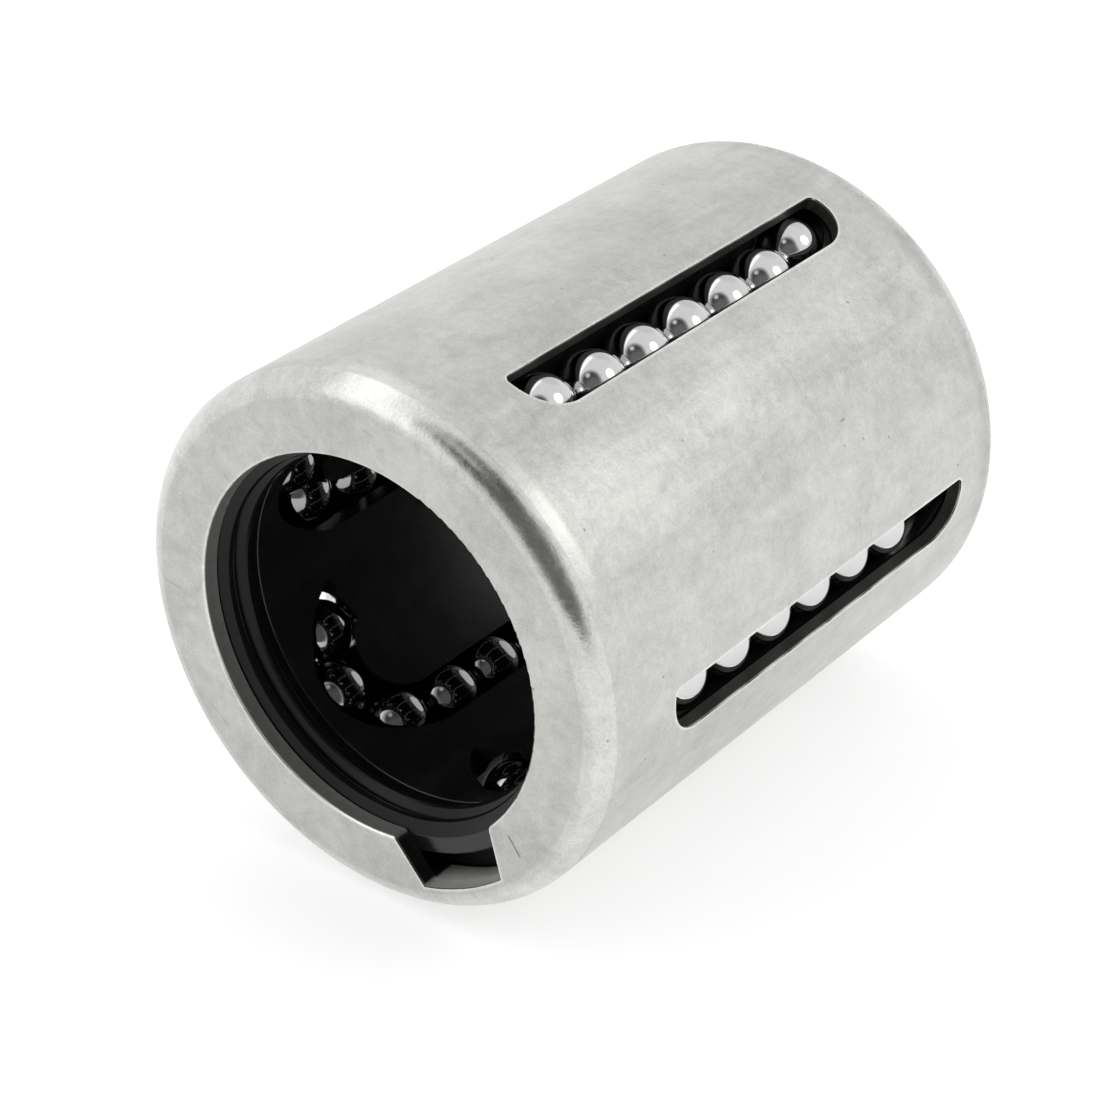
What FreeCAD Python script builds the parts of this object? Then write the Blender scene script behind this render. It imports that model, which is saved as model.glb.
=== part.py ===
import FreeCAD, Part
import math
import os
import Sketcher
from FreeCAD import Vector, Placement, Rotation

# Compact linear ball bushing for a 16 mm shaft: 24 mm outside, 30 mm long,
# sealed at both ends, with five recirculating ball circuits.
# Frame: origin at the middle of the bushing, +Y along the bore from the
# notched front face to the rear face, +Z up. Angles are counted clockwise
# from +Z towards +X as seen from the front.

os.makedirs("parts", exist_ok=True)
doc = FreeCAD.newDocument("linear_ball_bushing")

# ------------------------------------------------------------------ sheet
sheet = doc.addObject("Spreadsheet::Sheet", "Dims")
ROWS = [
    # alias, value or formula, meaning
    ("OutR", "12", "outside radius"),
    ("Len", "30", "length over both end faces"),
    ("ShaftR", "8", "shaft radius"),
    ("WallT", "0.65", "sleeve wall"),
    ("FlangeT", "0.8", "turned-in end flange thickness"),
    ("FlangeR", "8.65", "flange opening radius"),
    ("FrontRound", "1.1", "front outside corner radius"),
    ("RearRound", "0.95", "rear outside corner radius"),
    ("EdgeRound", "0.12", "flange opening edge radius"),
    ("InCorner", "0.3", "inside corner radius"),
    ("Circuits", "5", "ball circuits"),
    ("PhiSlot", "23.44", "angle of the first return slot"),
    ("MidY", "0.85", "middle of the circuits along the bore"),
    ("SlotLow", "1.39", "return slot edge before its row, across"),
    ("SlotHigh", "1.13", "return slot edge past its row, across"),
    ("SlotL", "21.9", "return slot length"),
    ("SlotCLow", "0.35", "return slot corner radius before its row"),
    ("SlotCHigh", "1.95", "return slot corner radius past its row"),
    ("NotchPhi", "151.9", "angle of the flange notch"),
    ("NotchR", "10.8", "notch floor radius"),
    ("NotchIn", "2.76", "half width of the notch at the opening"),
    ("NotchOut", "2.3", "half width of the notch at its floor"),
    ("NotchCLow", "0.5", "notch corner radius at the opening, lower angle side"),
    ("NotchCHigh", "0.24", "notch corner radius at the opening, higher angle side"),
    ("CollarR", "10.83", "inside radius of the step behind the front flange"),
    ("CollarY", "2.1", "rear end of that step, from the front face"),
    ("BallR", "1.5", "ball radius"),
    ("LoadR", "9.51", "loaded row centre radius"),
    ("RetR", "10", "return row centre radius"),
    ("RowSpan", "36", "angle between loaded and return row"),
    ("Pitch", "3.03", "ball pitch along a straight row"),
    ("TurnGap", "60", "angle between balls in a turn"),
    ("Straight", "15.3", "distance between the turn centres"),
    ("Tilt", "5.226", "outward tilt of the turn plane"),
    ("RaceR", "11.02", "raceway land radius"),
    ("RaceHalf", "1.1", "half width of a raceway land"),
    ("CageR", "11.25", "cage outside radius"),
    ("CageBore", "8.25", "cage bore radius"),
    ("CageFront", "2.9", "cage front end, from the front face"),
    ("CageRear", "28.45", "cage rear end, from the front face"),
    ("PipeR", "1.53", "ball channel radius"),
    ("SlitHalf", "1.05", "half width of the slit that bares the balls"),
    ("SealR", "11.33", "seal outside radius"),
    ("LipR", "8.01", "seal lip radius"),
    ("PhaseA", "-0.35", "rest position of the loaded row, circuit 1"),
    ("PhaseB", "-0.75", "rest position of the loaded row, circuit 2"),
    ("PhaseC", "-0.3", "rest position of the loaded row, circuit 3"),
    ("PhaseD", "0.1", "rest position of the loaded row, circuit 4"),
    ("PhaseE", "0.2", "rest position of the loaded row, circuit 5"),
    # derived
    ("InR", "=OutR - WallT", "sleeve inside radius"),
    ("Chord", "=sqrt(LoadR * LoadR + RetR * RetR - 2 * LoadR * RetR * cos(RowSpan * 1deg))", "chord between the rows"),
    ("TurnR", "=Chord / 2", "turn radius"),
    ("MidX", "=(RetR * RetR - LoadR * LoadR) / (2 * Chord)", "chord middle, across"),
    ("RowZ", "=sqrt(RetR * RetR - (MidX + TurnR) * (MidX + TurnR))", "chord height above the bore axis"),
    ("RetOff", "=atan2(MidX + TurnR; RowZ) / 1deg", "return row angle from the chord normal"),
    ("PhiNorm", "=PhiSlot - RetOff", "angle of the first chord normal"),
    ("FrontY", "=MidY - Straight / 2", "front turn centre"),
    ("RearY", "=MidY + Straight / 2", "rear turn centre"),
    ("Half", "=Len / 2", "half length"),
    ("NotchZ", "=sqrt(NotchR * NotchR - NotchOut * NotchOut)", "notch floor corner, outwards"),
    ("FlankA", "=atan2((NotchIn - NotchOut) * 1.42; NotchZ - FlangeR + 1) / 1deg", "lean of the notch flanks"),
    ("FlankH", "=NotchOut * cos(FlankA * 1deg) + NotchZ * sin(FlankA * 1deg)", "distance of a flank's line from the axis"),
]
for i, (alias, value, note) in enumerate(ROWS, start=1):
    sheet.set("A%d" % i, note)
    sheet.set("B%d" % i, value)
    sheet.setAlias("B%d" % i, alias)
doc.recompute()


def val(alias):
    v = getattr(sheet, alias)
    return float(getattr(v, "Value", v))


NAMES = sorted((r[0] for r in ROWS), key=len, reverse=True)


def full(expr):
    """Prefix every alias in a formula with the sheet's name."""
    out, word = "", ""
    for ch in expr + " ":
        if ch.isalnum() or ch == "_":
            word += ch
            continue
        out += ("Dims." + word) if word in NAMES else word
        word = ""
        out += ch
    return out.strip()


def number(expr):
    """Value of a formula of aliases, used for starting positions."""
    v = sheet.evalExpression(full(expr))
    return float(getattr(v, "Value", v))


# ---------------------------------------------------------------- helpers
def origin(body, role):
    for f in body.Origin.OriginFeatures:
        if f.Role == role:
            return f
    raise RuntimeError(role)


def new_body(label):
    b = doc.addObject("PartDesign::Body", label)
    b.Label = label
    return b


def new_sketch(body, name, plane="XY_Plane", base=None, axis=None, angle=None):
    """Sketch on one of the body's own origin planes, moved by base (formulas)
    and turned about axis by angle (formula, degrees)."""
    sk = body.newObject("Sketcher::SketchObject", name)
    sk.AttachmentSupport = [(origin(body, plane), "")]
    sk.MapMode = "FlatFace"
    if axis is not None:
        sk.AttachmentOffset = Placement(Vector(0, 0, 0), Rotation(Vector(*axis), 10.0))
        sk.setExpression(".AttachmentOffset.Rotation.Angle", full("(%s) * 1deg" % angle))
    if base is not None:
        for k, e in zip("xyz", base):
            if e not in (None, "0"):
                sk.setExpression(".AttachmentOffset.Base.%s" % k, full(e))
    return sk


def bind(sk, con, expr):
    idx = sk.addConstraint(con)
    sk.setExpression("Constraints[%d]" % idx, full(expr))
    return idx


def fix_point(sk, geo, pos, ex, ey):
    """Pin a point to formula coordinates."""
    for kind, e, swap in (("DistanceX", ex, 0), ("DistanceY", ey, 1)):
        v = number(e)
        if abs(v) < 1e-9:
            sk.addConstraint(Sketcher.Constraint("PointOnObject", geo, pos, -2 if kind == "DistanceX" else -1))
        else:
            if v > 0:
                bind(sk, Sketcher.Constraint(kind, -1, 1, geo, pos, v), e)
            else:
                bind(sk, Sketcher.Constraint(kind, geo, pos, -1, 1, -v), "-(%s)" % e)


def profile(sk, verts):
    """Closed outline of straight runs through verts (x, y, corner radius);
    a vertex with a radius is rounded by a tangent arc."""
    n = len(verts)
    P = [Vector(number(v[0]), number(v[1]), 0) for v in verts]
    Rr = [number(v[2]) if v[2] else 0.0 for v in verts]
    ins, outs, cen = [], [], []
    for i in range(n):
        a, p, b = P[i - 1], P[i], P[(i + 1) % n]
        if Rr[i] == 0:
            ins.append(p); outs.append(p); cen.append(None)
            continue
        u = (a - p).normalize(); w = (b - p).normalize()
        half = u.getAngle(w) / 2
        d = Rr[i] / math.tan(half)
        ins.append(p + u * d); outs.append(p + w * d)
        cen.append(p + (u + w).normalize() * (Rr[i] / math.sin(half)))
    lines = []
    for i in range(n):
        j = (i + 1) % n
        lines.append(sk.addGeometry(Part.LineSegment(outs[i], ins[j]), False))
    for i in range(n):
        prev = lines[i - 1]
        nxt = lines[i]
        if cen[i] is None:
            sk.addConstraint(Sketcher.Constraint("Coincident", prev, 2, nxt, 1))
            fix_point(sk, nxt, 1, verts[i][0], verts[i][1])
            continue
        c = cen[i]
        a0 = math.atan2(ins[i].y - c.y, ins[i].x - c.x)
        a1 = math.atan2(outs[i].y - c.y, outs[i].x - c.x)
        turn = (a1 - a0) % (2 * math.pi)
        circ = Part.Circle(c, Vector(0, 0, 1), Rr[i])
        if turn <= math.pi:
            arc = sk.addGeometry(Part.ArcOfCircle(circ, a0, a0 + turn), False)
            s, e = 1, 2
        else:
            arc = sk.addGeometry(Part.ArcOfCircle(circ, a1, a1 + 2 * math.pi - turn), False)
            s, e = 2, 1
        pt = sk.addGeometry(Part.Point(P[i]), True)
        fix_point(sk, pt, 1, verts[i][0], verts[i][1])
        sk.addConstraint(Sketcher.Constraint("PointOnObject", pt, 1, prev))
        sk.addConstraint(Sketcher.Constraint("PointOnObject", pt, 1, nxt))
        sk.addConstraint(Sketcher.Constraint("Tangent", prev, 2, arc, s))
        sk.addConstraint(Sketcher.Constraint("Tangent", arc, e, nxt, 1))
        bind(sk, Sketcher.Constraint("Radius", arc, Rr[i]), verts[i][2])
    return lines


def circle(sk, ex, ey, er):
    g = sk.addGeometry(Part.Circle(Vector(number(ex), number(ey), 0), Vector(0, 0, 1), number(er)), False)
    fix_point(sk, g, 3, ex, ey)
    bind(sk, Sketcher.Constraint("Radius", g, number(er)), er)


def arc_chain(sk, items):
    """Closed outline from a list of ("line", p, q) and ("arc", centre, r, p, q, ccw),
    where the points are formula pairs. Every point is pinned by its formula."""
    geos = []
    for it in items:
        if it[0] == "line":
            p = Vector(number(it[1][0]), number(it[1][1]), 0)
            q = Vector(number(it[2][0]), number(it[2][1]), 0)
            geos.append((sk.addGeometry(Part.LineSegment(p, q), False), 1, 2, it))
        else:
            c = Vector(number(it[1][0]), number(it[1][1]), 0)
            p = Vector(number(it[3][0]), number(it[3][1]), 0)
            q = Vector(number(it[4][0]), number(it[4][1]), 0)
            a0 = math.atan2(p.y - c.y, p.x - c.x)
            a1 = math.atan2(q.y - c.y, q.x - c.x)
            r = number(it[2])
            if it[5]:
                g = sk.addGeometry(Part.ArcOfCircle(Part.Circle(c, Vector(0, 0, 1), r), a0, a0 + (a1 - a0) % (2 * math.pi)), False)
                geos.append((g, 1, 2, it))
            else:
                g = sk.addGeometry(Part.ArcOfCircle(Part.Circle(c, Vector(0, 0, 1), r), a1, a1 + (a0 - a1) % (2 * math.pi)), False)
                geos.append((g, 2, 1, it))
    n = len(geos)
    for i in range(n):
        g, s, e, it = geos[i]
        h, hs, he, jt = geos[(i + 1) % n]
        sk.addConstraint(Sketcher.Constraint("Coincident", g, e, h, hs))
    for g, s, e, it in geos:
        if it[0] == "arc":
            fix_point(sk, g, 3, it[1][0], it[1][1])
            bind(sk, Sketcher.Constraint("Radius", g, number(it[2])), it[2])
    return geos


def revolve(body, sk, name):
    f = body.newObject("PartDesign::Revolution", name)
    f.Profile = sk
    f.ReferenceAxis = (sk, ["V_Axis"])
    f.Angle = 360.0
    return f


def polar(body, features, name):
    f = body.newObject("PartDesign::PolarPattern", name)
    f.Originals = features
    f.Axis = (origin(body, "Y_Axis"), [""])
    f.Angle = 360.0
    f.setExpression("Occurrences", full("Circuits"))
    body.Tip = f
    return f


def check_cut(body, before, after, what):
    if not after < before - 0.5:
        raise RuntimeError("%s cut nothing: %.3f -> %.3f" % (what, before, after))


def cut_all_round(body, feature, before, what):
    """Recompute a cut, repeat it for every circuit and prove both remove material."""
    doc.recompute()
    once = body.Shape.Volume
    check_cut(body, before, once, what)
    polar(body, [feature], what + "_pattern")
    doc.recompute()
    after = body.Shape.Volume
    expected = before - (before - once) * val("Circuits")
    # neighbouring circuits can share a little of a cut, so this is a band
    if not 0.7 * (before - expected) < before - after < 1.1 * (before - expected) + 8:
        raise RuntimeError("%s pattern: %.3f, expected %.3f" % (what, after, expected))
    return after


parts = []

# ----------------------------------------------------------- outer sleeve
# Drawn steel sleeve, modelled with the first return slot at +Z and turned
# into place by its Placement.
sleeve = new_body("outer_sleeve")
sk = new_sketch(sleeve, "sleeve_profile")
profile(sk, [
    ("OutR", "-Half", "FrontRound"),
    ("OutR", "Half", "RearRound"),
    ("FlangeR", "Half", "EdgeRound"),
    ("FlangeR", "Half - FlangeT", None),
    ("InR", "Half - FlangeT", "InCorner"),
    ("InR", "-Half + CollarY", "0.08"),
    ("CollarR", "-Half + CollarY", "0.08"),
    ("CollarR", "-Half + FlangeT", "0.1"),
    ("FlangeR", "-Half + FlangeT", None),
    ("FlangeR", "-Half", "EdgeRound"),
])
rev = revolve(sleeve, sk, "sleeve_shell")
doc.recompute()
v0 = sleeve.Shape.Volume

# raceway lands, a raised strip of the wall over each loaded row
sk = new_sketch(sleeve, "land_section", "XZ_Plane", ("0", "0", "-MidY"))
la = "(0 - RowSpan)"
dl = "asin(RaceHalf / RaceR) / 1deg"
do = "asin(RaceHalf / (InR + 0.2)) / 1deg"


def pol(r, ang):
    return ("(%s) * sin((%s) * 1deg)" % (r, ang), "(%s) * cos((%s) * 1deg)" % (r, ang))


p1 = pol("RaceR", la + " - " + dl)
p2 = pol("RaceR", la + " + " + dl)
p3 = pol("InR + 0.2", la + " + " + do)
p4 = pol("InR + 0.2", la + " - " + do)
g = arc_chain(sk, [
    ("arc", ("0", "0"), "RaceR", p1, p2, False),
    ("line", p2, p3),
    ("arc", ("0", "0"), "InR + 0.2", p3, p4, True),
    ("line", p4, p1),
])
for k, p in ((0, p1), (0, p2), (2, p3), (2, p4)):
    gi, s, e, it = g[k]
    pos = s if p is it[3] else e
    # one coordinate is enough, the point already lies on the arc
    v = number(p[0])
    bind(sk, Sketcher.Constraint("DistanceX", gi, pos, -1, 1, -v), "-(%s)" % p[0])
land = sleeve.newObject("PartDesign::Pad", "raceway_land")
land.Profile = sk
land.setExpression("Length", full("Straight"))
land.Midplane = True
doc.recompute()
lands = polar(sleeve, [land], "raceway_lands")
doc.recompute()
v1 = sleeve.Shape.Volume
if not v1 > v0 + 1:
    raise RuntimeError("lands add nothing")

# return slots
sk = new_sketch(sleeve, "slot_outline", "XY_Plane", ("0", "MidY", "OutR + 1"))
profile(sk, [
    ("-SlotLow", "-SlotL / 2", "SlotCLow"),
    ("SlotHigh", "-SlotL / 2", "SlotCHigh"),
    ("SlotHigh", "SlotL / 2", "SlotCHigh"),
    ("-SlotLow", "SlotL / 2", "SlotCLow"),
])
slot = sleeve.newObject("PartDesign::Pocket", "return_slot")
slot.Profile = sk
slot.setExpression("Length", full("WallT + 2"))
doc.recompute()
slots = polar(sleeve, [slot], "return_slots")
doc.recompute()
v2 = sleeve.Shape.Volume
check_cut(sleeve, v1, v2, "slots")

# notch in the front flange
sk = new_sketch(sleeve, "notch_outline", "XZ_Plane", ("0", "0", "Half + 1"))
na = "(NotchPhi - PhiSlot)"
ri = "(FlangeR - 1)"


def notch_pt(across, out):
    # across: along increasing angle, out: radial distance
    return ("(%s) * sin(%s * 1deg) + (%s) * cos(%s * 1deg)" % (out, na, across, na),
            "(%s) * cos(%s * 1deg) - (%s) * sin(%s * 1deg)" % (out, na, across, na))


def flare(rad, side):
    """Rounded corner between a flank and the opening: centre, its two ends
    and a point further in, for the side with across > 0 or < 0."""
    reach = "(FlangeR + 0.97 * %s)" % rad
    off = "(FlankH + %s)" % rad
    run = "sqrt(%s * %s - %s * %s)" % (reach, reach, off, off)
    cx = "(%s * cos(FlankA * 1deg) - %s * sin(FlankA * 1deg))" % (off, run)
    cz = "(%s * sin(FlankA * 1deg) + %s * cos(FlankA * 1deg))" % (off, run)
    sx = side if side == "-" else ""
    cen = notch_pt("%s%s" % (sx, cx), cz)
    on_flank = notch_pt("%s(%s - %s * cos(FlankA * 1deg))" % (sx, cx, rad), "(%s - %s * sin(FlankA * 1deg))" % (cz, rad))
    k = "((%s - %s) / %s)" % (reach, rad, reach)
    inner = notch_pt("%s%s * %s" % (sx, cx, k), "%s * %s" % (cz, k))
    k = "(%s / %s)" % (ri, reach)
    deep = notch_pt("%s%s * %s" % (sx, cx, k), "%s * %s" % (cz, k))
    return cen, on_flank, inner, deep


q2 = notch_pt("-NotchOut", "NotchZ")
q3 = notch_pt("NotchOut", "NotchZ")
cl, fl, nl, dl_ = flare("NotchCLow", "-")
ch, fh, nh, dh_ = flare("NotchCHigh", "+")
g = arc_chain(sk, [
    ("line", dl_, nl),
    ("arc", cl, "NotchCLow", nl, fl, True),
    ("line", fl, q2),
    ("arc", ("0", "0"), "NotchR", q2, q3, False),
    ("line", q3, fh),
    ("arc", ch, "NotchCHigh", fh, nh, True),
    ("line", nh, dh_),
    ("line", dh_, dl_),
])
fix_point(sk, g[0][0], 1, dl_[0], dl_[1])
fix_point(sk, g[6][0], 2, dh_[0], dh_[1])


def pin(geo, pos, pt, cen):
    """Fix a point that already lies on a circle by its better coordinate."""
    dx, dy = number(pt[0]) - number(cen[0]), number(pt[1]) - number(cen[1])
    kind, e = ("DistanceX", pt[0]) if abs(dy) > abs(dx) else ("DistanceY", pt[1])
    v = number(e)
    if v > 0:
        bind(sk, Sketcher.Constraint(kind, -1, 1, geo, pos, v), e)
    else:
        bind(sk, Sketcher.Constraint(kind, geo, pos, -1, 1, -v), "-(%s)" % e)


zero = ("0", "0")
pin(g[0][0], 2, nl, cl)
pin(g[2][0], 1, fl, cl)
pin(g[2][0], 2, q2, zero)
pin(g[4][0], 1, q3, zero)
pin(g[4][0], 2, fh, ch)
pin(g[6][0], 1, nh, ch)
notch = sleeve.newObject("PartDesign::Pocket", "flange_notch")
notch.Profile = sk
notch.setExpression("Length", full("FlangeT + 1.3"))
doc.recompute()
v3 = sleeve.Shape.Volume
check_cut(sleeve, v2, v3, "notch")
sleeve.Tip = notch
sleeve.Placement = Placement(Vector(0, 0, 0), Rotation(Vector(0, 1, 0), 10.0))
sleeve.setExpression(".Placement.Rotation.Angle", full("PhiSlot * 1deg"))
parts.append(sleeve)

# ------------------------------------------------------------- ball cage
# Moulded cage, modelled with the first circuit's chord normal at +Z: its
# loaded row lies on the -X side and its return row on the +X side.
cage = new_body("ball_cage")
sk = new_sketch(cage, "cage_profile")
profile(sk, [
    ("CageBore", "CageFront - Half", "0.1"),
    ("CageR", "CageFront - Half", "0.25"),
    ("CageR", "CageRear - Half", "0.15"),
    ("CageBore", "CageRear - Half", "0.1"),
])
revolve(cage, sk, "cage_ring")
doc.recompute()
c0 = cage.Shape.Volume

# open top of the racetrack channel, down to the ball centres
sk = new_sketch(cage, "track_outline", "XY_Plane", ("MidX", "MidY", "OutR + 1"))
HS = "(Straight / 2)"
ro = "(TurnR + PipeR)"
rn = "(TurnR - PipeR)"
for rr in (ro, rn):
    g = arc_chain(sk, [
        ("line", (rr, "-" + HS), (rr, HS)),
        ("arc", ("0", HS), rr, (rr, HS), ("-" + rr, HS), True),
        ("line", ("-" + rr, HS), ("-" + rr, "-" + HS)),
        ("arc", ("0", "-" + HS), rr, ("-" + rr, "-" + HS), (rr, "-" + HS), True),
    ])
    fix_point_y = ((g[0][0], 1, "-" + HS), (g[0][0], 2, HS), (g[2][0], 1, HS), (g[2][0], 2, "-" + HS))
    for gi, pos, ey in fix_point_y:
        v = number(ey)
        if v > 0:
            bind(sk, Sketcher.Constraint("DistanceY", -1, 1, gi, pos, v), ey)
        else:
            bind(sk, Sketcher.Constraint("DistanceY", gi, pos, -1, 1, -v), "-(%s)" % ey)
track = cage.newObject("PartDesign::Pocket", "track_opening")
track.Profile = sk
track.setExpression("Length", full("OutR + 1 - RowZ"))
c1 = cut_all_round(cage, track, c0, "track_opening")

# round floors of the two straight rows
for name, ex in (("loaded_floor", "MidX - TurnR"), ("return_floor", "MidX + TurnR")):
    sk = new_sketch(cage, name + "_section", "XZ_Plane", ("0", "0", "-MidY"))
    circle(sk, ex, "RowZ", "PipeR")
    f = cage.newObject("PartDesign::Pocket", name)
    f.Profile = sk
    f.setExpression("Length", full("Straight"))
    f.Midplane = True
    c1 = cut_all_round(cage, f, c1, name)

# round floors of the two turns, in planes that lean outwards
for name, yc, sign, rev_flag in (("front_turn_floor", "FrontY", "", False), ("rear_turn_floor", "RearY", "-", True)):
    sk = new_sketch(cage, name + "_section", "XZ_Plane", ("MidX", "RowZ", "-(%s)" % yc), (1, 0, 0), "%sTilt" % sign)
    circle(sk, "-TurnR", "0", "PipeR + 0.04")
    f = cage.newObject("PartDesign::Groove", name)
    f.Profile = sk
    f.ReferenceAxis = (sk, ["V_Axis"])
    f.Angle = 180.0
    f.Reversed = rev_flag
    c1 = cut_all_round(cage, f, c1, name)

# slit through the floor under the loaded row and round both turns
sk = new_sketch(cage, "slit_outline", "XY_Plane", ("MidX", "MidY", "RowZ + 0.6"))
END = "72"
so = "(TurnR + SlitHalf)"
si = "(TurnR - SlitHalf)"


def turn_pt(r, ang, sgn):
    return ("(%s) * sin(%s * 1deg)" % (r, ang), "%s(%s + (%s) * cos(%s * 1deg))" % (sgn, HS, r, ang))


fo, fi = turn_pt(so, END, "-"), turn_pt(si, END, "-")
bo, bi = turn_pt(so, END, ""), turn_pt(si, END, "")
g = arc_chain(sk, [
    ("arc", ("0", HS), so, bo, ("-" + so, HS), True),
    ("line", ("-" + so, HS), ("-" + so, "-" + HS)),
    ("arc", ("0", "-" + HS), so, ("-" + so, "-" + HS), fo, True),
    ("line", fo, fi),
    ("arc", ("0", "-" + HS), si, fi, ("-" + si, "-" + HS), False),
    ("line", ("-" + si, "-" + HS), ("-" + si, HS)),
    ("arc", ("0", HS), si, ("-" + si, HS), bi, False),
    ("line", bi, bo),
])
for gi, pos, ey in ((g[1][0], 1, HS), (g[1][0], 2, "-" + HS), (g[5][0], 1, "-" + HS), (g[5][0], 2, HS)):
    v = number(ey)
    if v > 0:
        bind(sk, Sketcher.Constraint("DistanceY", -1, 1, gi, pos, v), ey)
    else:
        bind(sk, Sketcher.Constraint("DistanceY", gi, pos, -1, 1, -v), "-(%s)" % ey)
for gi, pos, pt in ((g[3][0], 1, fo), (g[3][0], 2, fi), (g[7][0], 1, bi), (g[7][0], 2, bo)):
    bind(sk, Sketcher.Constraint("DistanceX", -1, 1, gi, pos, number(pt[0])), pt[0])
slit = cage.newObject("PartDesign::Pocket", "ball_slit")
slit.Profile = sk
slit.Length = 3.6
c1 = cut_all_round(cage, slit, c1, "ball_slit")
cage.Placement = Placement(Vector(0, 0, 0), Rotation(Vector(0, 1, 0), 10.0))
cage.setExpression(".Placement.Rotation.Angle", full("PhiNorm * 1deg"))
parts.append(cage)

# ------------------------------------------------------------------ seals
# Double-lip wiper rings. The front one has a narrow nose that bears on the
# flange inside the notch; the rear one is shorter and reaches into the
# flange opening.
seal = new_body("front_seal")
sk = new_sketch(seal, "front_seal_profile")
profile(sk, [
    ("SealR", "CollarY + 0.05 - Half", "0.06"),
    ("9.68", "CollarY + 0.05 - Half", "0.12"),
    ("9.6", "FlangeT - Half", "0.07"),
    ("8.86", "FlangeT - Half", "0.05"),
    ("LipR + 0.26", "FlangeT + 0.3 - Half", "0.06"),
    ("LipR + 0.2", "FlangeT + 0.52 - Half", "0.06"),
    ("LipR + 0.55", "FlangeT + 0.8 - Half", "0.08"),
    ("LipR + 0.06", "FlangeT + 1.1 - Half", None),
    ("LipR", "FlangeT + 1.2 - Half", None),
    ("LipR", "FlangeT + 1.42 - Half", None),
    ("LipR + 0.3", "FlangeT + 1.72 - Half", None),
    ("LipR + 0.3", "CageFront - Half", None),
    ("SealR", "CageFront - Half", None),
])
revolve(seal, sk, "front_seal_ring")
parts.append(seal)

seal2 = new_body("rear_seal")
sk = new_sketch(seal2, "rear_seal_profile")
profile(sk, [
    ("SealR", "CageRear - Half", None),
    ("SealR", "Half - FlangeT - 0.32", None),
    ("SealR - 0.32", "Half - FlangeT", None),
    ("FlangeR - 0.05", "Half - FlangeT", None),
    ("FlangeR - 0.05", "Half - 0.34", "0.06"),
    ("LipR + 0.42", "Half - 0.26", "0.06"),
    ("LipR + 0.2", "Half - 0.44", "0.06"),
    ("LipR + 0.22", "Half - 0.6", "0.05"),
    ("LipR + 0.4", "Half - 0.82", "0.06"),
    ("LipR + 0.04", "Half - 1.04", None),
    ("LipR", "Half - 1.1", None),
    ("LipR", "Half - 1.26", None),
    ("LipR + 0.26", "CageRear - Half", None),
])
revolve(seal2, sk, "rear_seal_ring")
parts.append(seal2)

# ------------------------------------------------------------------ balls
# Each circuit carries five balls in its loaded row, five in its return row
# and three in each turn. All are placed in the chord frame of circuit 1 and
# turned to their circuit by the group's Placement.
PH = ["PhaseA", "PhaseB", "PhaseC", "PhaseD", "PhaseE"]


def ball(name, ex, ey, ez):
    s = doc.addObject("Part::Sphere", name)
    s.setExpression("Radius", full("BallR"))
    s.setExpression(".Placement.Base.x", full(ex))
    s.setExpression(".Placement.Base.y", full(ey))
    s.setExpression(".Placement.Base.z", full(ez))
    return s


def group(label, balls, index):
    c = doc.addObject("Part::Compound", label)
    c.Label = label
    c.Links = balls
    c.Placement = Placement(Vector(0, 0, 0), Rotation(Vector(0, 1, 0), 10.0))
    c.setExpression(".Placement.Rotation.Angle", full("(PhiNorm + %d * 360 / Circuits) * 1deg" % index))
    parts.append(c)
    return c


for k in range(5):
    ph = PH[k]
    tag = "circuit_%d" % (k + 1)
    row = []
    ret = []
    for i in range(-2, 3):
        row.append(ball("%s_l%d" % (tag, i + 3), "MidX - TurnR", "MidY + %s + (%d) * Pitch" % (ph, i), "RowZ"))
        ret.append(ball("%s_r%d" % (tag, i + 3), "MidX + TurnR", "MidY - %s + (%d) * Pitch" % (ph, i), "RowZ"))
    group(tag + "_loaded_balls", row, k)
    group(tag + "_return_balls", ret, k)
    for side, yc, sgn, turn in (("front", "FrontY", "-", "-"), ("rear", "RearY", "+", "")):
        tb = []
        for i in (-1, 0, 1):
            a = "((%d) * TurnGap + (%s%s / TurnR) * 180 / pi)" % (i, turn, ph)
            tb.append(ball("%s_%s%d" % (tag, side[0], i + 2),
                           "MidX + TurnR * sin(%s * 1deg)" % a,
                           "%s %s TurnR * cos(Tilt * 1deg) * cos(%s * 1deg)" % (yc, sgn, a),
                           "RowZ + TurnR * sin(Tilt * 1deg) * cos(%s * 1deg)" % a))
        group("%s_%s_turn_balls" % (tag, side), tb, k)

# -------------------------------------------------------- check and write
doc.recompute()
bad = []
for o in doc.Objects:
    if any(s in ("Invalid", "Error") for s in o.State):
        bad.append(o.Name)
if bad:
    raise RuntimeError("failed objects: %s" % bad)
for p in parts:
    if p.Shape.isNull() or not p.Shape.isValid():
        raise RuntimeError("bad shape: " + p.Label)
    pts, tris = p.Shape.tessellate(0.05)
    vol = sum(pts[a].dot(pts[b].cross(pts[c])) for a, b, c in tris) / 6
    if abs(vol - p.Shape.Volume) > 0.01 * p.Shape.Volume:
        raise RuntimeError("%s: skin volume %.3f, solid volume %.3f" % (p.Label, vol, p.Shape.Volume))
    solids = len(p.Shape.Solids)
    bb = p.Shape.BoundBox
    print("%-28s solids %d  volume %9.3f  y %.3f..%.3f" % (p.Label, solids, p.Shape.Volume, bb.YMin, bb.YMax))
    p.Shape.exportStep("parts/%s.step" % p.Label)
print("RowZ %.4f MidX %.4f TurnR %.4f PhiNorm %.4f" % (val("RowZ"), val("MidX"), val("TurnR"), val("PhiNorm")))
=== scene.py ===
import math

import bmesh
import bpy
import numpy as np
from mathutils import Matrix, Vector


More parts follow.
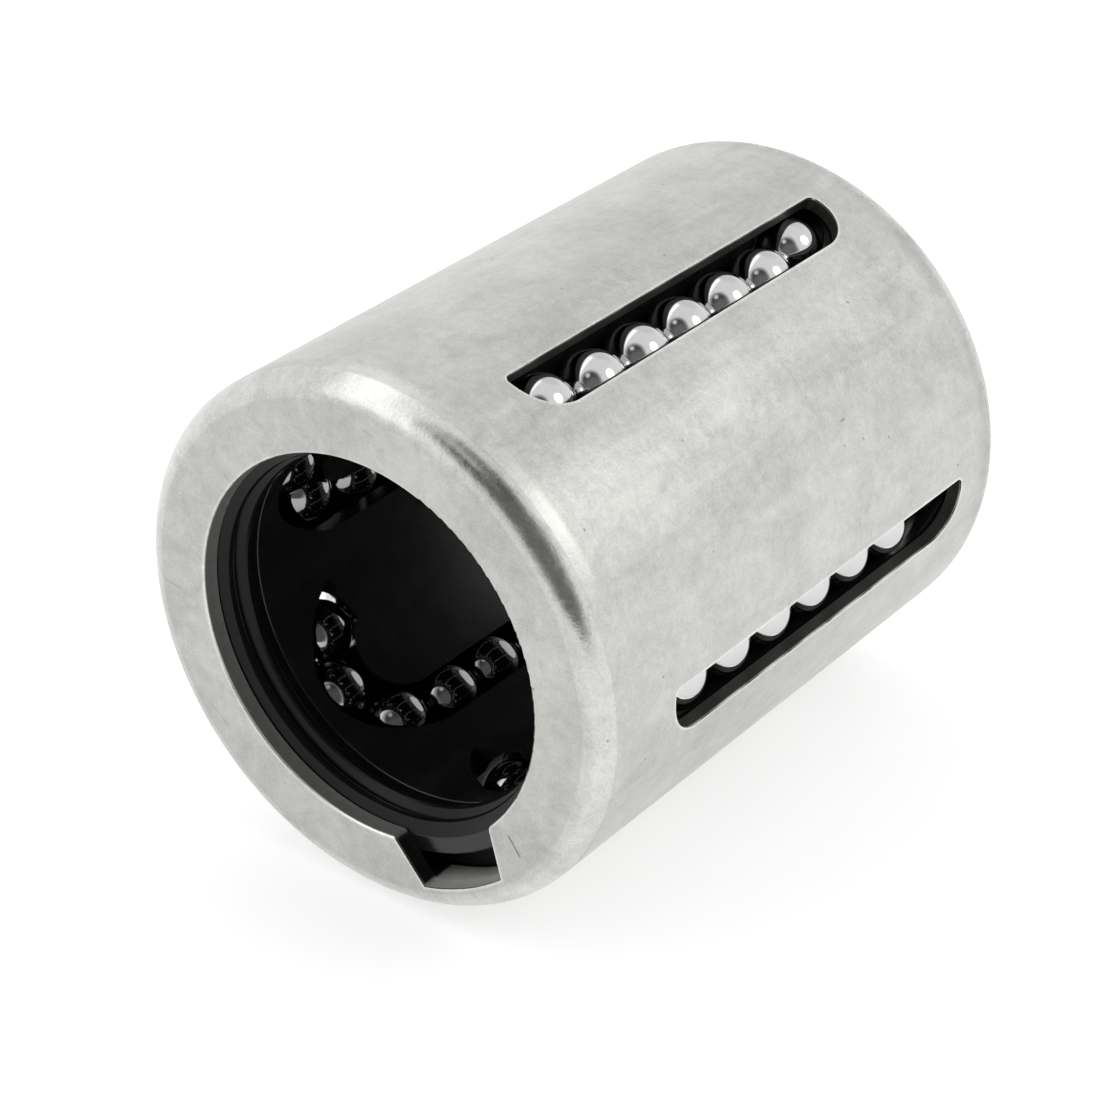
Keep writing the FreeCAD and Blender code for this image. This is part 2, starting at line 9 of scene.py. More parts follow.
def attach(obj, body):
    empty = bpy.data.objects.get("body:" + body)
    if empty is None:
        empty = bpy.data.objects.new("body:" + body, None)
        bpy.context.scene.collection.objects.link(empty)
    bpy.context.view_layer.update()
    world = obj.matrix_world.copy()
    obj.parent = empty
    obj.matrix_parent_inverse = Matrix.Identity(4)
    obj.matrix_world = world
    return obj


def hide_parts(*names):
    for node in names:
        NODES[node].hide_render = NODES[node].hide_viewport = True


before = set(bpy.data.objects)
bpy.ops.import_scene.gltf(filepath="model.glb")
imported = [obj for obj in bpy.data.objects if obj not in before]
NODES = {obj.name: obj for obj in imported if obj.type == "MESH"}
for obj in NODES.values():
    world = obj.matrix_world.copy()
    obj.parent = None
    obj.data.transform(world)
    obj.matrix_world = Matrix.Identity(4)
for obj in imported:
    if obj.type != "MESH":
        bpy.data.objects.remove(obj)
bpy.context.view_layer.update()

MM = 0.001

# numbers of the design that the looks follow, in mm and degrees
OUT_R, HALF = 12.0, 15.0
FRONT_R, REAR_R = 1.1, 0.95
FLANGE_R = 8.65
SLOT_PHI, SLOT_HALF_L, SLOT_MID = 23.44, 10.95, 0.85
SLOT_LOW, SLOT_HIGH, SLOT_C_LOW, SLOT_C_HIGH = 1.393, 1.132, 0.35, 1.95
NOTCH_PHI, NOTCH_R = 151.9, 10.8


# ------------------------------------------------------------ node helpers
class Graph:
    """A material's node tree with short calls for the nodes used here."""

    def __init__(self, name):
        self.mat = bpy.data.materials.new(name)
        self.mat.use_nodes = True
        self.nt = self.mat.node_tree
        self.nt.nodes.clear()
        out = self.nt.nodes.new("ShaderNodeOutputMaterial")
        self.bsdf = self.nt.nodes.new("ShaderNodeBsdfPrincipled")
        self.nt.links.new(self.bsdf.outputs["BSDF"], out.inputs["Surface"])
        tc = self.nt.nodes.new("ShaderNodeTexCoord")
        self.P = self.vm("SCALE", tc.outputs["Object"], scale=1000.0)
        sep = self.nt.nodes.new("ShaderNodeSeparateXYZ")
        self.nt.links.new(self.P, sep.inputs[0])
        self.x, self.y, self.z = sep.outputs

    def put(self, socket, value):
        if isinstance(value, bpy.types.NodeSocket):
            self.nt.links.new(value, socket)
        elif value is not None:
            socket.default_value = value

    def m(self, op, a, b=None, c=None, clamp=False):
        n = self.nt.nodes.new("ShaderNodeMath")
        n.operation, n.use_clamp = op, clamp
        for s, v in zip(n.inputs, (a, b, c)):
            self.put(s, v)
        return n.outputs[0]

    def vm(self, op, a, b=None, scale=None):
        n = self.nt.nodes.new("ShaderNodeVectorMath")
        n.operation = op
        self.put(n.inputs[0], a)
        if b is not None:
            self.put(n.inputs[1], b)
        if scale is not None:
            self.put(n.inputs["Scale"], scale)
        return n.outputs["Value"] if op in ("LENGTH", "DOT_PRODUCT", "DISTANCE") else n.outputs["Vector"]

    def xyz(self, x, y, z):
        n = self.nt.nodes.new("ShaderNodeCombineXYZ")
        for s, v in zip(n.inputs, (x, y, z)):
            self.put(s, v)
        return n.outputs[0]

    def step(self, v, lo, hi, a=0.0, b=1.0, smooth=True):
        n = self.nt.nodes.new("ShaderNodeMapRange")
        n.interpolation_type = "SMOOTHSTEP" if smooth else "LINEAR"
        n.clamp = True
        for s, w in zip(n.inputs, (v, lo, hi, a, b)):
            self.put(s, w)
        return n.outputs[0]

    def mapping(self, v, rot=(0, 0, 0), scale=(1, 1, 1), loc=(0, 0, 0)):
        n = self.nt.nodes.new("ShaderNodeMapping")
        self.put(n.inputs["Vector"], v)
        n.inputs["Rotation"].default_value = [math.radians(a) for a in rot]
        n.inputs["Scale"].default_value = scale
        n.inputs["Location"].default_value = loc
        return n.outputs[0]

    def noise(self, v, scale, detail=2.0, rough=0.5, dist=0.0):
        n = self.nt.nodes.new("ShaderNodeTexNoise")
        self.put(n.inputs["Vector"], v)
        n.inputs["Scale"].default_value = scale
        n.inputs["Detail"].default_value = detail
        n.inputs["Roughness"].default_value = rough
        n.inputs["Distortion"].default_value = dist
        return n.outputs["Fac"]

    def cells(self, v, scale, feature="F1"):
        n = self.nt.nodes.new("ShaderNodeTexVoronoi")
        n.feature = feature
        self.put(n.inputs["Vector"], v)
        n.inputs["Scale"].default_value = scale
        return n.outputs["Distance"], n.outputs["Color"]

    def mix(self, fac, a, b):
        n = self.nt.nodes.new("ShaderNodeMix")
        n.data_type = "RGBA"
        self.put(n.inputs[0], fac)
        for s, v in ((n.inputs[6], a), (n.inputs[7], b)):
            if not isinstance(v, bpy.types.NodeSocket):
                v = (*v, 1.0)
            self.put(s, v)
        return n.outputs[2]

    def lerp(self, fac, a, b):
        n = self.nt.nodes.new("ShaderNodeMix")
        n.data_type = "FLOAT"
        self.put(n.inputs[0], fac)
        self.put(n.inputs[2], a)
        self.put(n.inputs[3], b)
        return n.outputs[0]

    def scaled(self, color, factor):
        """Colour times a factor socket."""
        return self.vm("SCALE", color, scale=factor)

    def bump(self, height_mm, strength=1.0, normal=None):
        n = self.nt.nodes.new("ShaderNodeBump")
        n.inputs["Strength"].default_value = strength
        n.inputs["Distance"].default_value = MM
        self.put(n.inputs["Height"], height_mm)
        if normal is not None:
            self.put(n.inputs["Normal"], normal)
        return n.outputs[0]

    def total(self, *terms):
        t = terms[0]
        for u in terms[1:]:
            t = self.m("ADD", t, u)
        return t

    def times(self, *terms):
        t = terms[0]
        for u in terms[1:]:
            t = self.m("MULTIPLY", t, u)
        return t

    def lines(self, rot, stretch, scale, width, gate_scale, gate_lo, gate_hi, seed):
        """Sparse fine scratches: thin level lines of a stretched noise, kept only in patches."""
        v = self.mapping(self.P, rot=rot, scale=stretch, loc=(seed, seed * 1.7, -seed))
        n = self.noise(v, scale, 1.0, 0.4)
        line = self.step(self.m("ABSOLUTE", self.m("SUBTRACT", n, 0.5)), 0.0, width, 1.0, 0.0)
        g = self.noise(self.mapping(self.P, loc=(seed * 3.1, seed, seed * 2.3)), gate_scale, 2.0, 0.5)
        return self.times(line, self.step(g, gate_lo, gate_hi))


def polar(g):
    r = g.m("SQRT", g.m("ADD", g.m("MULTIPLY", g.x, g.x), g.m("MULTIPLY", g.z, g.z)))
    return r, g.m("ARCTAN2", g.x, g.z)


def rounded_box(g, u, v, hu, hv, c):
    """Signed distance to a rounded rectangle, below 0 inside."""
    qu = g.m("SUBTRACT", g.m("ABSOLUTE", u), g.m("SUBTRACT", hu, c))
    qv = g.m("SUBTRACT", g.m("ABSOLUTE", v), g.m("SUBTRACT", hv, c))
    a, b = g.m("MAXIMUM", qu, 0.0), g.m("MAXIMUM", qv, 0.0)
    out = g.m("SQRT", g.m("ADD", g.m("MULTIPLY", a, a), g.m("MULTIPLY", b, b)))
    inn = g.m("MINIMUM", g.m("MAXIMUM", qu, qv), 0.0)
    return g.m("SUBTRACT", g.m("ADD", out, inn), c)


def half_slot(g, u, v, hv, c):
    """Signed distance to a strip that ends at u = 0 with two rounded corners and runs on below it."""
    qu = g.m("ADD", u, c)
    qv = g.m("SUBTRACT", g.m("ABSOLUTE", v), hv - c)
    a, b = g.m("MAXIMUM", qu, 0.0), g.m("MAXIMUM", qv, 0.0)
    out = g.m("SQRT", g.m("ADD", g.m("MULTIPLY", a, a), g.m("MULTIPLY", b, b)))
    inn = g.m("MINIMUM", g.m("MAXIMUM", qu, qv), 0.0)
    return g.m("SUBTRACT", g.m("ADD", out, inn), c)


# ---------------------------------------------------------------- sleeve
def sleeve_material():
    g = Graph("sleeve_steel")
    r, phi = polar(g)

    # how deep a point lies below the sleeve's outer skin, and how far from a slot, the notch and the opening
    rnd = g.lerp(g.m("GREATER_THAN", g.y, 0.0), FRONT_R, REAR_R)
    depth = g.m("MULTIPLY", rounded_box(g, r, g.y, OUT_R, HALF, rnd), -1.0)
    turn = g.m("DIVIDE", g.m("SUBTRACT", phi, math.radians(SLOT_PHI)), math.radians(72))
    off = g.m("SUBTRACT", turn, g.m("ROUND", turn))
    arc = g.times(off, math.radians(72), r)
    along = g.m("SUBTRACT", g.y, SLOT_MID)
    slot = g.m("MAXIMUM",
               half_slot(g, g.m("SUBTRACT", arc, SLOT_HIGH), along, SLOT_HALF_L, SLOT_C_HIGH),
               half_slot(g, g.m("SUBTRACT", g.m("MULTIPLY", arc, -1.0), SLOT_LOW), along, SLOT_HALF_L, SLOT_C_LOW))
    a = math.radians(NOTCH_PHI)
    across = g.m("ABSOLUTE", g.m("SUBTRACT", g.m("MULTIPLY", g.x, math.cos(a)), g.m("MULTIPLY", g.z, math.sin(a))))
    outw = g.m("ADD", g.m("MULTIPLY", g.x, math.sin(a)), g.m("MULTIPLY", g.z, math.cos(a)))
    side_gap = g.m("MULTIPLY", g.m("SUBTRACT", across, g.m("MULTIPLY_ADD", g.m("SUBTRACT", 10.55, outw), 0.225, 2.3)), 0.976)
    notch = g.m("MAXIMUM", side_gap, g.m("SUBTRACT", r, NOTCH_R))
    notch = g.m("ADD", notch, g.times(g.m("LESS_THAN", outw, 0.0), 30.0))
    notch = g.m("ADD", notch, g.times(g.m("GREATER_THAN", g.y, -13.0), 30.0))
    opening = g.m("SUBTRACT", r, FLANGE_R)
    edge = g.m("MINIMUM", g.m("MINIMUM", slot, notch), opening)

    skin = g.step(depth, 0.05, 0.13, 1.0, 0.0)
    face = g.times(g.step(g.m("ABSOLUTE", g.y), 14.80, 14.97), skin)
    roundm = g.times(g.step(r, 10.95, 11.15), g.step(g.m("ABSOLUTE", g.y), 13.95, 14.1), skin)

    # texture fields
    grain = g.noise(g.P, 9.0, 4.0, 0.62)
    mottle = g.noise(g.P, 2.3, 5.0, 0.6, 0.3)
    cloud = g.noise(g.P, 0.16, 3.0, 0.55, 0.6)
    hoop = g.noise(g.mapping(g.P, scale=(0.06, 1.6, 0.06)), 1.0, 4.0, 0.6)
    axial = g.noise(g.mapping(g.P, scale=(2.2, 0.07, 2.2)), 1.0, 4.0, 0.6)
    smear = g.noise(g.mapping(g.P, rot=(18, 12, 40), scale=(0.55, 0.16, 0.55)), 1.0, 4.0, 0.62, 1.2)
    blotch = g.noise(g.P, 0.62, 4.0, 0.62, 0.9)
    swell = g.noise(g.mapping(g.P, loc=(4.0, 11.0, 7.0)), 0.30, 2.0, 0.5, 0.4)
    pits_d, pits_c = g.cells(g.P, 0.62)
    sep = g.nt.nodes.new("ShaderNodeSeparateColor")
    g.nt.links.new(pits_c, sep.inputs[0])
    pits = g.times(g.step(pits_d, 0.016, 0.062, 1.0, 0.0), g.step(sep.outputs[0], 0.30, 0.35))
    nick_d, nick_c = g.cells(g.mapping(g.P, rot=(30, 0, 50), scale=(1.0, 0.30, 1.0)), 0.55)
    sep2 = g.nt.nodes.new("ShaderNodeSeparateColor")
    g.nt.links.new(nick_c, sep2.inputs[0])
    nicks = g.times(g.step(nick_d, 0.016, 0.058, 1.0, 0.0), g.step(sep2.outputs[1], 0.34, 0.4))
    s1 = g.lines((25, 0, 35), (0.35, 1.9, 0.35), 0.42, 0.0045, 0.35, 0.60, 0.66, 3.7)
    s2 = g.lines((-35, 20, -50), (0.3, 2.2, 0.3), 0.38, 0.004, 0.3, 0.60, 0.66, 9.2)
    s3 = g.lines((5, 80, 12), (0.25, 2.6, 0.25), 0.33, 0.0035, 0.4, 0.61, 0.67, 15.9)
    scratch = g.m("MAXIMUM", g.m("MAXIMUM", s1, s2), s3)

    # one longer score on the front face beside the notch
    ax, az, bx, bz = 7.346, -5.789, 8.048, -6.761
    ln = math.hypot(bx - ax, bz - az)
    tx, tz = (bx - ax) / ln, (bz - az) / ln
    px, pz = g.m("SUBTRACT", g.x, ax), g.m("SUBTRACT", g.z, az)
    run = g.m("ADD", g.m("MULTIPLY", px, tx), g.m("MULTIPLY", pz, tz))
    side = g.m("ABSOLUTE", g.m("SUBTRACT", g.m("MULTIPLY", px, tz), g.m("MULTIPLY", pz, tx)))
    score = g.times(g.step(side, 0.015, 0.05, 1.0, 0.0), g.step(run, 0.0, 0.15), g.step(run, ln - 0.25, ln, 1.0, 0.0), g.step(g.y, -14.9, -14.8, 1.0, 0.0))

    # colour: satin steel, a little green-grey, brighter along the outline edges, partly rubbed wear and partly a
    # painted rim highlight
    tone = g.total(
        g.m("MULTIPLY_ADD", grain, 0.46, -0.23),
        g.m("MULTIPLY_ADD", mottle, 0.24, -0.12),
        g.m("MULTIPLY_ADD", cloud, 0.42, -0.21),
        g.m("MULTIPLY_ADD", smear, 0.40, -0.20),
        g.m("MULTIPLY_ADD", blotch, 0.26, -0.13),
        g.m("MULTIPLY_ADD", hoop, 0.08, -0.04),
        g.m("MULTIPLY_ADD", axial, 0.07, -0.035),
        g.m("MULTIPLY", pits, -0.42),
        g.m("MULTIPLY", nicks, -0.42),
        g.m("MULTIPLY", score, -0.45),
        # painted shade: the end faces are darkened by a tenth
        g.m("MULTIPLY", face, -0.10),
        g.m("MULTIPLY", scratch, -0.16),
        1.0,
    )
    # outline edges of slots, notch and opening: rubbed wear plus a painted highlight line, lighter and glossier
    rub_and_rim_highlight = g.times(g.step(edge, 0.02, 0.17, 1.0, 0.0), g.step(depth, 0.1, 0.16, 1.0, 0.0))
    steel = g.mix(mottle, (0.515, 0.522, 0.494), (0.560, 0.567, 0.540))
    steel = g.mix(roundm, steel, (0.60, 0.605, 0.585))
    steel = g.mix(g.times(rub_and_rim_highlight, 0.8), steel, (0.78, 0.78, 0.76))
    steel = g.scaled(steel, tone)
    oxide_tone = g.m("MULTIPLY_ADD", mottle, 0.5, 0.75)
    oxide = g.scaled(g.mix(grain, (0.036, 0.036, 0.031), (0.062, 0.061, 0.054)), oxide_tone)
    # the punched notch and the opening's edge show a lighter, rougher cut than the scaled inside
    front = g.step(g.y, -12.85, -12.75, 1.0, 0.0)
    punched = g.times(front, g.step(g.m("ABSOLUTE", g.m("SUBTRACT", r, NOTCH_R)), 0.06, 0.12, 1.0, 0.0), g.step(notch, 0.12, 0.2, 1.0, 0.0))
    rim = g.times(g.step(g.m("ABSOLUTE", g.y), 14.1, 14.16), g.step(r, 8.72, 8.80, 1.0, 0.0))
    oxide = g.mix(rim, oxide, g.scaled(g.mix(grain, (0.13, 0.13, 0.12), (0.21, 0.21, 0.198)), oxide_tone))
    # painted shade: the notch side walls at the front are darkened to under a third
    notch_flank_shade = g.times(front, g.step(r, 10.6, 10.7, 1.0, 0.0), g.step(r, 8.80, 8.90))
    oxide = g.scaled(oxide, g.m("MULTIPLY_ADD", notch_flank_shade, -0.72, 1.0))
    oxide = g.mix(punched, oxide, g.scaled(g.mix(grain, (0.34, 0.34, 0.325), (0.50, 0.50, 0.48)), oxide_tone))
    g.put(g.bsdf.inputs["Base Color"], g.mix(skin, oxide, steel))
    g.put(g.bsdf.inputs["Metallic"], g.lerp(skin, g.lerp(g.m("MAXIMUM", punched, rim), 0.75, 0.15), 1.0))

    rough = g.total(
        g.m("MULTIPLY_ADD", mottle, 0.14, -0.07),
        g.m("MULTIPLY_ADD", cloud, 0.10, -0.05),
        g.m("MULTIPLY_ADD", grain, 0.10, -0.05),
        g.m("MULTIPLY", scratch, -0.06),
        g.m("MULTIPLY", roundm, -0.17),
        g.m("MULTIPLY_ADD", smear, 0.16, -0.08),
        g.m("MULTIPLY", face, 0.02),
        g.m("MULTIPLY", rub_and_rim_highlight, -0.14),
        0.40,
    )
    g.put(g.bsdf.inputs["Roughness"], g.lerp(skin, 0.52, rough))

    # fine relief about zero, calmer on the burnished rounds
    fine = g.m("ADD", g.m("MULTIPLY_ADD", grain, 0.0060, -0.0030), g.m("MULTIPLY_ADD", mottle, 0.0110, -0.0055))
    height = g.total(
        g.m("MULTIPLY", fine, g.m("MULTIPLY_ADD", roundm, -0.6, 1.0)),
        g.m("MULTIPLY", cloud, 0.020),
        g.m("MULTIPLY", swell, 0.070),
        g.m("MULTIPLY", blotch, 0.018),
        g.m("MULTIPLY", hoop, 0.0022),
        g.m("MULTIPLY", pits, -0.016),
        g.m("MULTIPLY", nicks, -0.014),
        g.m("MULTIPLY", score, -0.02),
        g.m("MULTIPLY", scratch, -0.0022),
    )
    # the drawn corners run softly into skin and face
    inward = g.m("SUBTRACT", HALF, g.m("ABSOLUTE", g.y))
    lead = g.total(g.step(inward, 0.35, 1.95, 0.0, 0.26), g.step(r, 10.5, 11.6, 0.10, 0.0))
    height = g.m("ADD", height, lead)
    g.put(g.bsdf.inputs["Normal"], g.bump(height, 1.0))
    return g.mat


# ------------------------------------------------------------------ cage
def cage_material():
    g = Graph("cage_plastic")
    r, phi = polar(g)
    grain = g.noise(g.P, 14.0, 3.0, 0.6)
    flow = g.noise(g.mapping(g.P, scale=(0.5, 0.09, 0.5)), 1.3, 4.0, 0.55, 0.5)
    haze = g.noise(g.P, 0.7, 4.0, 0.6)
    base = g.mix(flow, (0.0070, 0.0073, 0.0075), (0.0115, 0.0118, 0.0120))
    g.put(g.bsdf.inputs["Base Color"], g.scaled(base, g.m("MULTIPLY_ADD", haze, 0.7, 0.65)))
    g.put(g.bsdf.inputs["Roughness"], g.total(g.m("MULTIPLY_ADD", haze, 0.16, -0.08), g.m("MULTIPLY_ADD", grain, 0.06, -0.03), 0.22))
    g.put(g.bsdf.inputs["IOR"], 1.52)
    g.put(g.bsdf.inputs["Specular IOR Level"], 0.36)
    h = g.total(g.m("MULTIPLY", grain, 0.0006), g.m("MULTIPLY", flow, 0.006), g.m("MULTIPLY", haze, 0.003))
    g.put(g.bsdf.inputs["Normal"], g.bump(h, 1.0))
    return g.mat


# ----------------------------------------------------------------- seals
def seal_material():
    g = Graph("seal_rubber")
    r, phi = polar(g)
    grain = g.noise(g.P, 16.0, 4.0, 0.65)
    dust = g.noise(g.P, 3.2, 5.0, 0.7)
    rings = g.noise(g.xyz(g.m("MULTIPLY", r, 7.0), g.m("MULTIPLY", g.y, 7.0), 0.0), 1.0, 3.0, 0.5)
    base = g.mix(grain, (0.0045, 0.0047, 0.0047), (0.0085, 0.0087, 0.0085))
    base = g.mix(g.times(g.step(dust, 0.56, 0.78), 0.35), base, (0.030, 0.030, 0.028))
    g.put(g.bsdf.inputs["Base Color"], base)
    g.put(g.bsdf.inputs["Roughness"], g.total(g.m("MULTIPLY_ADD", dust, 0.14, -0.07), g.m("MULTIPLY_ADD", rings, 0.08, -0.04), 0.20))
    g.put(g.bsdf.inputs["IOR"], 1.5)
    nose = g.times(g.step(r, 8.8, 8.86), g.step(g.y, -14.1, -14.0, 1.0, 0.0))
    g.put(g.bsdf.inputs["Specular IOR Level"], g.lerp(nose, 0.17, 0.5))
    h = g.total(g.m("MULTIPLY", grain, 0.0012), g.m("MULTIPLY", rings, 0.004))
    g.put(g.bsdf.inputs["Normal"], g.bump(h, 1.0))
    return g.mat


# ----------------------------------------------------------------- balls
def ball_material():
    g = Graph("ball_steel")
    r, phi = polar(g)
    haze = g.noise(g.P, 1.1, 4.0, 0.6)
    fine = g.noise(g.P, 22.0, 3.0, 0.6)
    film = g.step(g.noise(g.P, 2.1, 3.0, 0.6, 0.8), 0.52, 0.7)
    s = g.lines((40, 10, 60), (0.4, 2.2, 0.4), 1.2, 0.004, 0.8, 0.55, 0.62, 5.1)
    base = g.mix(haze, (0.585, 0.588, 0.592), (0.635, 0.637, 0.640))
    base = g.mix(g.times(film, 0.25), base, (0.52, 0.52, 0.50))
    # painted shade: ball colour falls to half towards the axis, darkening the balls' sides inside the bore
    base = g.scaled(base, g.step(r, 8.7, 9.7, 0.50, 1.0))
    g.put(g.bsdf.inputs["Base Color"], base)
    g.put(g.bsdf.inputs["Metallic"], 1.0)
    g.put(g.bsdf.inputs["Roughness"], g.total(0.055, g.m("MULTIPLY", haze, 0.04), g.m("MULTIPLY", film, 0.06), g.m("MULTIPLY", s, 0.1)))
    h = g.total(g.m("MULTIPLY", fine, 0.00012), g.m("MULTIPLY", s, -0.0004))
    g.put(g.bsdf.inputs["Normal"], g.bump(h, 1.0))
    return g.mat


def floor_material():
    g = Graph("studio_paper")
    n = g.noise(g.P, 0.02, 3.0, 0.5)
    g.put(g.bsdf.inputs["Base Color"], g.mix(n, (0.60, 0.60, 0.60), (0.63, 0.63, 0.63)))
    g.put(g.bsdf.inputs["Emission Color"], (1.0, 1.0, 1.0, 1.0))
    g.put(g.bsdf.inputs["Emission Strength"], 0.55)
    g.put(g.bsdf.inputs["Roughness"], 0.8)
    g.put(g.bsdf.inputs["Specular IOR Level"], 0.1)
    return g.mat


def dress(obj, mat):
    obj.data.materials.clear()
    obj.data.materials.append(mat)
    for p in obj.data.polygons:
        p.material_index = 0


STEEL, CAGE, SEAL, BALL = sleeve_material(), cage_material(), seal_material(), ball_material()
dress(NODES["outer_sleeve"], STEEL)
dress(NODES["ball_cage"], CAGE)
dress(NODES["front_seal"], SEAL)
dress(NODES["rear_seal"], SEAL)


# ------------------------------------------------- polished ball sets
def ball_centres(node):
    """Centre and radius of each separate ball of a CAD node, from its own mesh."""
    me = node.data
    co = np.zeros(len(me.vertices) * 3)
    me.vertices.foreach_get("co", co)
    co = co.reshape(-1, 3)
    parent = list(range(len(co)))

    def find(i):
        while parent[i] != i:
            parent[i] = parent[parent[i]]
            i = parent[i]
        return i

    for e in me.edges:
        a, b = find(e.vertices[0]), find(e.vertices[1])
        if a != b:
            parent[a] = b
    roots = np.array([find(i) for i in range(len(co))])
    found = []
    for k in sorted(set(roots)):
        p = co[roots == k]
        lo, hi = p.min(0), p.max(0)
        if (hi - lo).max() > 2.5 * MM:
            found.append(((lo + hi) / 2, float((hi - lo).max()) / 2))
    return found


def quad_sphere(bm, centre, radius, n):
    """A sphere of evenly sized quads, projected from a cube with n by n faces a side."""
    grid = np.tan(np.linspace(-math.pi / 4, math.pi / 4, n + 1))
    made = {}

    def vert(p):
        v = np.array(p, float)
        v = v / np.linalg.norm(v)
        key = tuple(np.round(v, 7))
        if key not in made:
            made[key] = bm.verts.new(Vector(centre + v * radius))
        return made[key]

    for axis in range(3):
        for sign in (-1.0, 1.0):
            for i in range(n):
                for j in range(n):
                    quad = []
                    for a, b in ((i, j), (i + 1, j), (i + 1, j + 1), (i, j + 1)):
                        p = [0.0, 0.0, 0.0]
                        p[axis] = sign
                        p[(axis + 1) % 3] = grid[a]
                        p[(axis + 2) % 3] = grid[b]
                        quad.append(vert(p))
                    if sign < 0:
                        quad.reverse()
                    f = bm.faces.new(quad)
                    f.smooth = True


for circuit in range(1, 6):
    for part in ("loaded", "return", "front_turn", "rear_turn"):
        node = NODES["circuit_%d_%s_balls" % (circuit, part)]
        bm = bmesh.new()
        for c, rad in ball_centres(node):
            quad_sphere(bm, c, 1.5 * MM, 22)
        me = bpy.data.meshes.new("circuit_%d_%s_polished" % (circuit, part))
        bm.to_mesh(me)
        bm.free()
        o = bpy.data.objects.new("circuit_%d_%s_polished" % (circuit, part), me)
        bpy.context.scene.collection.objects.link(o)
        dress(o, BALL)
        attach(o, "circuit_%d_%s" % (circuit, part))
        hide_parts(node.name)

# ------------------------------------------------------------- stage
bpy.ops.mesh.primitive_plane_add(size=3.0, location=(0, 0, -OUT_R * MM))
floor = bpy.context.object
floor.name = "studio_floor"
dress(floor, floor_material())


def soft_lamp(name, direction, distance, radius, radiance):
    """A round soft lamp aimed at the object, its strength given as the brightness of its face."""
    d = Vector(direction).normalized()
    lamp = bpy.data.lights.new(name, "AREA")
    lamp.shape = "DISK"
    lamp.size = 2 * radius
    lamp.energy = radiance * math.pi * math.pi * radius * radius
    o = bpy.data.objects.new(name, lamp)
    bpy.context.scene.collection.objects.link(o)
    o.location = d * distance
    o.rotation_euler = (-d).to_track_quat("-Z", "Y").to_euler()
    return o


soft_lamp("key_softbox", (0.669, 0.350, 0.657), 0.42, 0.10, 2.3)

world = bpy.data.worlds.new("light_tent")
bpy.context.scene.world = world
world.use_nodes = True
nt = world.node_tree
nt.nodes.clear()
w_out = nt.nodes.new("ShaderNodeOutputWorld")
w_bg = nt.nodes.new("ShaderNodeBackground")
nt.links.new(w_bg.outputs[0], w_out.inputs[0])
w_tc = nt.nodes.new("ShaderNodeTexCoord")


def toward(direction, inner, outer):
    """1 within inner degrees of a direction, falling to 0 at outer degrees."""
    n = nt.nodes.new("ShaderNodeVectorMath")
    n.operation = "DOT_PRODUCT"
    nt.links.new(w_tc.outputs["Generated"], n.inputs[0])
    n.inputs[1].default_value = Vector(direction).normalized()
    k = nt.nodes.new("ShaderNodeMapRange")
    k.interpolation_type = "SMOOTHSTEP"
    nt.links.new(n.outputs["Value"], k.inputs[0])
    k.inputs[1].default_value = math.cos(math.radians(outer))
    k.inputs[2].default_value = math.cos(math.radians(inner))
    k.inputs[3].default_value = 0.0
    k.inputs[4].default_value = 1.0
    return k.outputs[0]


def wmix(fac, a, b):
    n = nt.nodes.new("ShaderNodeMix")
    n.data_type = "FLOAT"
    nt.links.new(fac, n.inputs[0])
    for s, v in ((n.inputs[2], a), (n.inputs[3], b)):
        if isinstance(v, bpy.types.NodeSocket):
            nt.links.new(v, s)
        else:
            s.default_value = v
    return n.outputs[0]


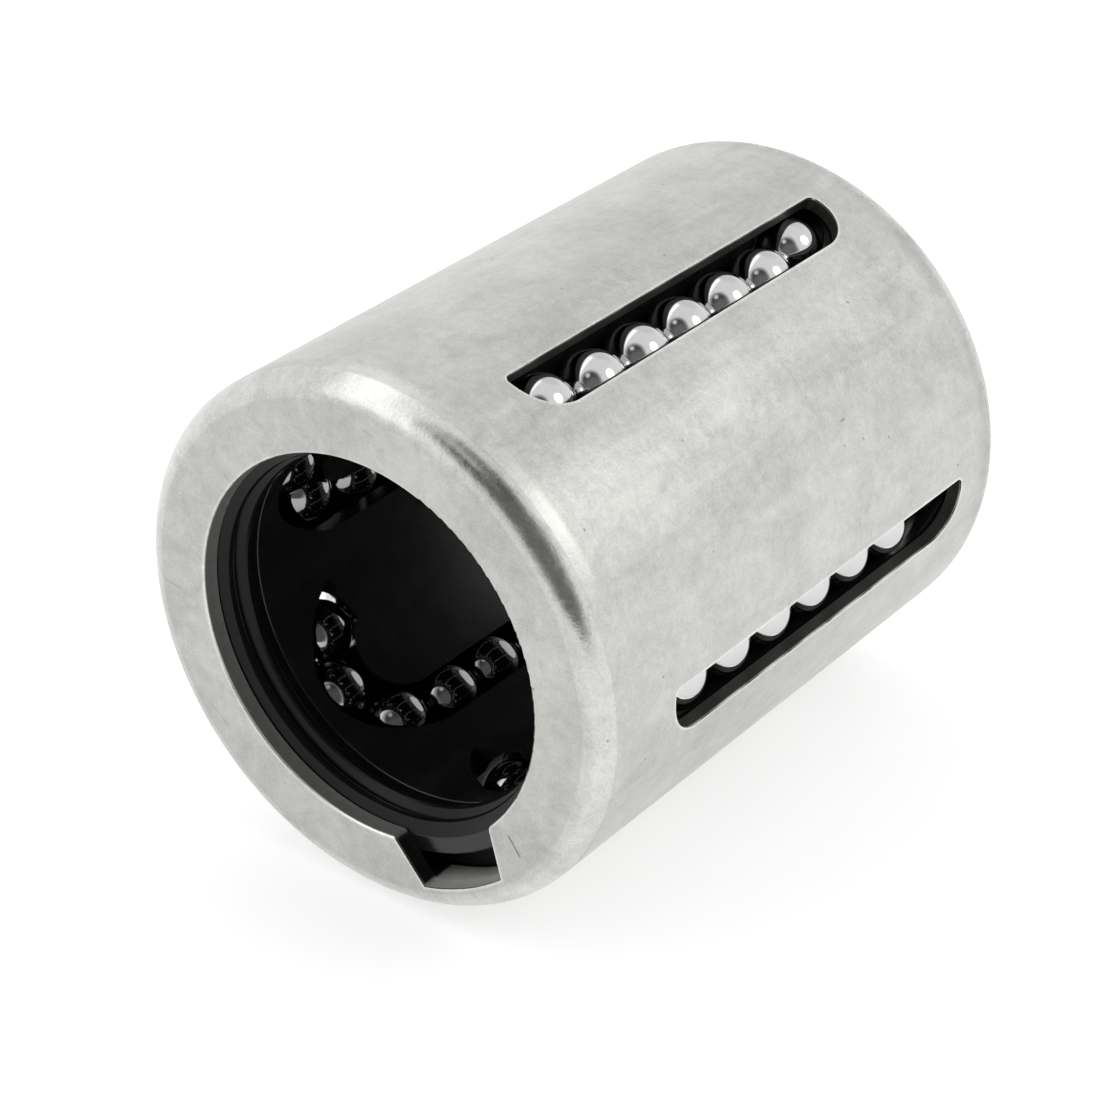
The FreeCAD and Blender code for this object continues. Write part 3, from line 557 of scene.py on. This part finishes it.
def strip(offset, half, soft, low, high):
    """1 inside a band of the tent at a fixed side distance, kept between two heights."""
    sep = nt.nodes.new("ShaderNodeSeparateXYZ")
    nt.links.new(w_tc.outputs["Generated"], sep.inputs[0])

    def ramp(value, lo, hi, a, b):
        k = nt.nodes.new("ShaderNodeMapRange")
        k.interpolation_type = "SMOOTHSTEP"
        nt.links.new(value, k.inputs[0])
        for s, w in zip(list(k.inputs)[1:5], (lo, hi, a, b)):
            s.default_value = w
        return k.outputs[0]

    def math2(op, a, b):
        n = nt.nodes.new("ShaderNodeMath")
        n.operation = op
        for s, v in zip(n.inputs, (a, b)):
            if isinstance(v, bpy.types.NodeSocket):
                nt.links.new(v, s)
            elif v is not None:
                s.default_value = v
        return n.outputs[0]

    across = math2("ABSOLUTE", math2("SUBTRACT", sep.outputs[0], offset), None)
    band = ramp(across, half, half + soft, 1.0, 0.0)
    return math2("MULTIPLY", math2("MULTIPLY", band, ramp(sep.outputs[2], low, low + 0.15, 0.0, 1.0)),
                 ramp(sep.outputs[1], high, high + 0.2, 1.0, 0.0))


tent = wmix(toward((0, 0, 1), 10, 95), 1.10, 0.99)
tent = wmix(toward((-0.24, 0.70, 0.67), 6, 24), tent, 0.86)
tent = wmix(toward((0.69, 0.70, 0.20), 4, 20), tent, 0.90)
tent = wmix(strip(-0.505, 0.125, 0.11, 0.15, 0.35), tent, 1.75)
tent = wmix(toward((0.313, -0.660, 0.678), 19, 37), tent, 0.09)
tent = wmix(toward((0.60, -0.70, 0.36), 18, 38), tent, 0.18)
tent = wmix(toward((0.07, -0.57, 0.82), 3, 9), tent, 0.80)
nt.links.new(tent, w_bg.inputs["Strength"])
w_bg.inputs["Color"].default_value = (1.0, 1.0, 1.0, 1.0)

# ------------------------------------------------------------- camera
cam = bpy.data.cameras.new("camera")
cam.lens, cam.sensor_width = 101.49, 36.0
cam.clip_start, cam.clip_end = 0.005, 10.0
cam_obj = bpy.data.objects.new("camera", cam)
bpy.context.scene.collection.objects.link(cam_obj)
right = Vector((0.796600, 0.604507, 0.0))
up = Vector((-0.305530, 0.402618, 0.862873))
ahead = Vector((-0.521613, 0.687364, -0.505421))
M = Matrix((right, up, -ahead)).transposed().to_4x4()
M.translation = (0.069959, -0.094696, 0.066739)
cam_obj.matrix_world = M
bpy.context.scene.camera = cam_obj
bpy.context.scene.view_settings.view_transform = "Standard"
bpy.context.scene.view_settings.look = "None"
